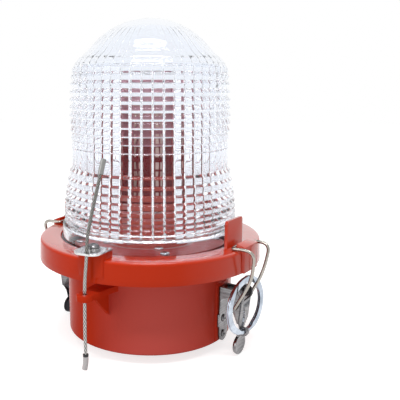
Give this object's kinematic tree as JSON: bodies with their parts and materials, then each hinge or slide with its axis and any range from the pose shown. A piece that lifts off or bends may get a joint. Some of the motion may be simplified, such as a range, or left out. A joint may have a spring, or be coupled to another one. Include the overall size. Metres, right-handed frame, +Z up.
{
  "type": "aviation beacon lamp",
  "caption": "Obstruction beacon lamp: ribbed clear glass dome clamped in a painted collar over a round base, with draw latches, a pull ring and a wire tether.",
  "frame": {"origin": "centre of the foot's lower face, on the conduit entry's axis", "axes": "+Z up along the lens axis, +X out through the latch that carries the pull ring, the wire tether near -Y"},
  "size_m": [0.2024, 0.1912, 0.258],
  "materials": {
    "housing_paint": "satin orange-red powder coat over cast aluminium",
    "lens_glass": "clear pressed glass",
    "seal_rubber": "matt black",
    "band_rubber": "matt black",
    "steel": "pressed stainless sheet and turned fasteners",
    "bail_wire": "drawn stainless wire",
    "wire_rope": "laid stainless strands",
    "crimp": "pressed ferrule",
    "sleeve_plastic": "pale grey sleeve",
    "ring_zinc": "bright zinc plate",
    "aluminium": "milled",
    "chassis_paint": "satin red paint",
    "led_board": "dark red solder mask",
    "led_package": "white frame with a clear window",
    "driver_board": "green solder mask",
    "driver_parts": "moulded components",
    "terminal_plastic": "ivory",
    "brass": "plain",
    "lead_insulation": "red"
  },
  "bodies": {
    "lamp": {"base_housing": "housing_paint", "lens_collar": "housing_paint", "lens": "lens_glass", "lens_gasket": "seal_rubber", "base_gasket": "seal_rubber", "lens_clamp_ring": "aluminium", "clamp_screws": "steel", "tether_plate": "steel", "tether_washer": "steel", "tether_screw": "steel", "tether_rope_upper": "wire_rope", "tether_rope_lower": "wire_rope", "tether_ferrule": "crimp", "tether_band": "band_rubber", "tether_sleeve": "sleeve_plastic", "right_latch_plate": "steel", "right_latch_rivets": "steel", "right_latch_pin": "steel", "left_latch_plate": "steel", "left_latch_rivets": "steel", "left_latch_pin": "steel", "chassis_plate": "aluminium", "chassis_standoffs": "aluminium", "chassis_screws": "steel", "led_column": "chassis_paint", "led_boards": "led_board", "led_packages": "led_package", "column_screws": "steel", "column_cap": "aluminium", "cap_screw": "steel", "driver_board": "driver_board", "driver_spacers": "aluminium", "driver_screws": "steel", "driver_parts": "driver_parts", "terminal_block": "terminal_plastic", "terminal_screws": "brass", "earth_stud": "brass", "earth_nut": "brass", "led_lead": "lead_insulation"},
    "right_lever": {"right_lever": "steel"},
    "right_bail": {"right_bail": "bail_wire"},
    "safety_ring": {"safety_ring": "ring_zinc"},
    "left_lever": {"left_lever": "steel"},
    "left_bail": {"left_bail": "bail_wire"}
  },
  "joints": [
    {"name": "right_lever_swing", "type": "hinge", "parent": "lamp", "child": "right_lever", "pos_m": [0.0848, 0, 0.05], "axis": [0, -1, 0], "range_deg": [0, 75]},
    {"name": "right_bail_swing", "type": "hinge", "parent": "right_lever", "child": "right_bail", "pos_m": [0.0835, 0, 0.04], "axis": [0, -1, 0], "range_deg": [-62, 0]},
    {"name": "safety_ring_swing", "type": "hinge", "parent": "right_lever", "child": "safety_ring", "pos_m": [0.0883, 0, 0.0197], "axis": [0, -1, 0], "range_deg": [-46, 0]},
    {"name": "left_lever_swing", "type": "hinge", "parent": "lamp", "child": "left_lever", "pos_m": [-0.08448, -0.00739, 0.05], "axis": [-0.0872, 0.9962, 0], "range_deg": [0, 75]},
    {"name": "left_bail_swing", "type": "hinge", "parent": "left_lever", "child": "left_bail", "pos_m": [-0.08318, -0.00728, 0.04], "axis": [-0.0872, 0.9962, 0], "range_deg": [-62, 0]}
  ],
  "couplings": [
    {"joint": "right_bail_swing", "follows": "right_lever_swing", "ratio": -0.82},
    {"joint": "safety_ring_swing", "follows": "right_lever_swing", "ratio": -0.61},
    {"joint": "left_bail_swing", "follows": "left_lever_swing", "ratio": -0.82}
  ]
}
